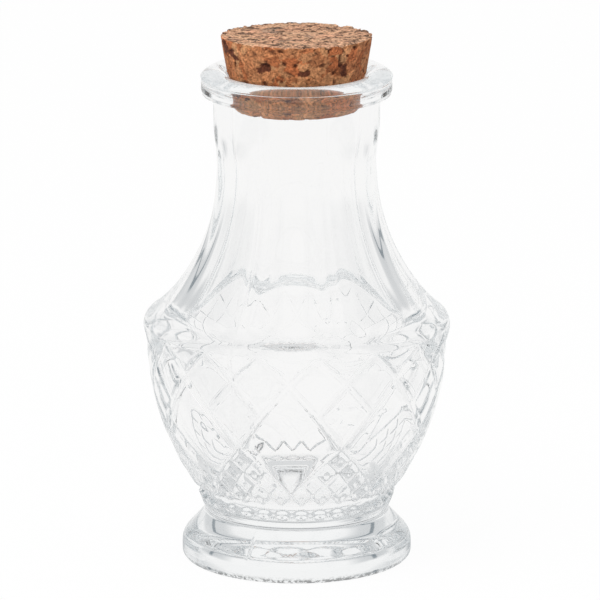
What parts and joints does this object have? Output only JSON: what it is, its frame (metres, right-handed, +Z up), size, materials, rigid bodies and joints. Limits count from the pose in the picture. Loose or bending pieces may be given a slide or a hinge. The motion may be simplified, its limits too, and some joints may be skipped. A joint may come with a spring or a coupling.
{
  "type": "glass jar with cork stopper",
  "caption": "Small pressed-glass jar with a round foot, diamond-pressed body, panelled flared neck and thick rim, closed by a tapered cork stopper.",
  "frame": {"origin": "centre of the foot's underside, on the surface the jar stands on", "axes": "+Z up along the jar's axis, -Y the side that faces the viewer, with one neck panel square to it"},
  "size_m": [0.0684, 0.0684, 0.12],
  "materials": {
    "clear_glass": "clear pressed glass, fire polished",
    "cork": "pressed cork granules, cut faces"
  },
  "bodies": {
    "jar": {"glass_jar": "clear_glass"},
    "stopper": {"cork_stopper": "cork"}
  },
  "joints": [
    {"name": "cork_lift", "type": "slide", "parent": "jar", "child": "stopper", "axis": [0, 0, 1], "range_m": [0, 0.03]}
  ]
}
